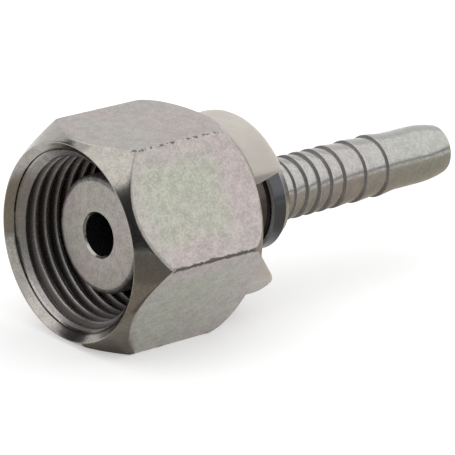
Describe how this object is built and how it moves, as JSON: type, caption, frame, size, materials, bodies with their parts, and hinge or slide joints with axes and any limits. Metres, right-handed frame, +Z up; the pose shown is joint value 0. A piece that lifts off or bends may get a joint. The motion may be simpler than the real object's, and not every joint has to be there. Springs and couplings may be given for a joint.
{
  "type": "flat-face swivel hose fitting",
  "caption": "Steel hose-end fitting: barbed tail, flat sealing nose, a free-turning hexagon nut with an internal thread and a plastic snap clip behind it.",
  "frame": {"origin": "centre of the flat sealing face on the nose", "axes": "+X along the bore towards the hose tail, -X out of the nut's mouth, +Z up with one nut flat facing straight down"},
  "size_m": [0.0567, 0.0278, 0.024],
  "materials": {
    "plated_insert": "zinc plated, satin",
    "plated_nut": "zinc plated, satin, faint green and pink bloom",
    "ivory_plastic": "moulded, semi-matte"
  },
  "bodies": {
    "insert": {"hose_insert": "plated_insert"},
    "nut": {"swivel_nut": "plated_nut"},
    "clip": {"retaining_clip": "ivory_plastic"}
  },
  "joints": [
    {"name": "nut_swivel", "type": "hinge", "parent": "insert", "child": "nut", "pos_m": [0.0125, 0, 0], "axis": [1, 0, 0], "continuous": true},
    {"name": "clip_turn", "type": "hinge", "parent": "insert", "child": "clip", "pos_m": [0.0176, 0, 0], "axis": [1, 0, 0], "continuous": true}
  ]
}
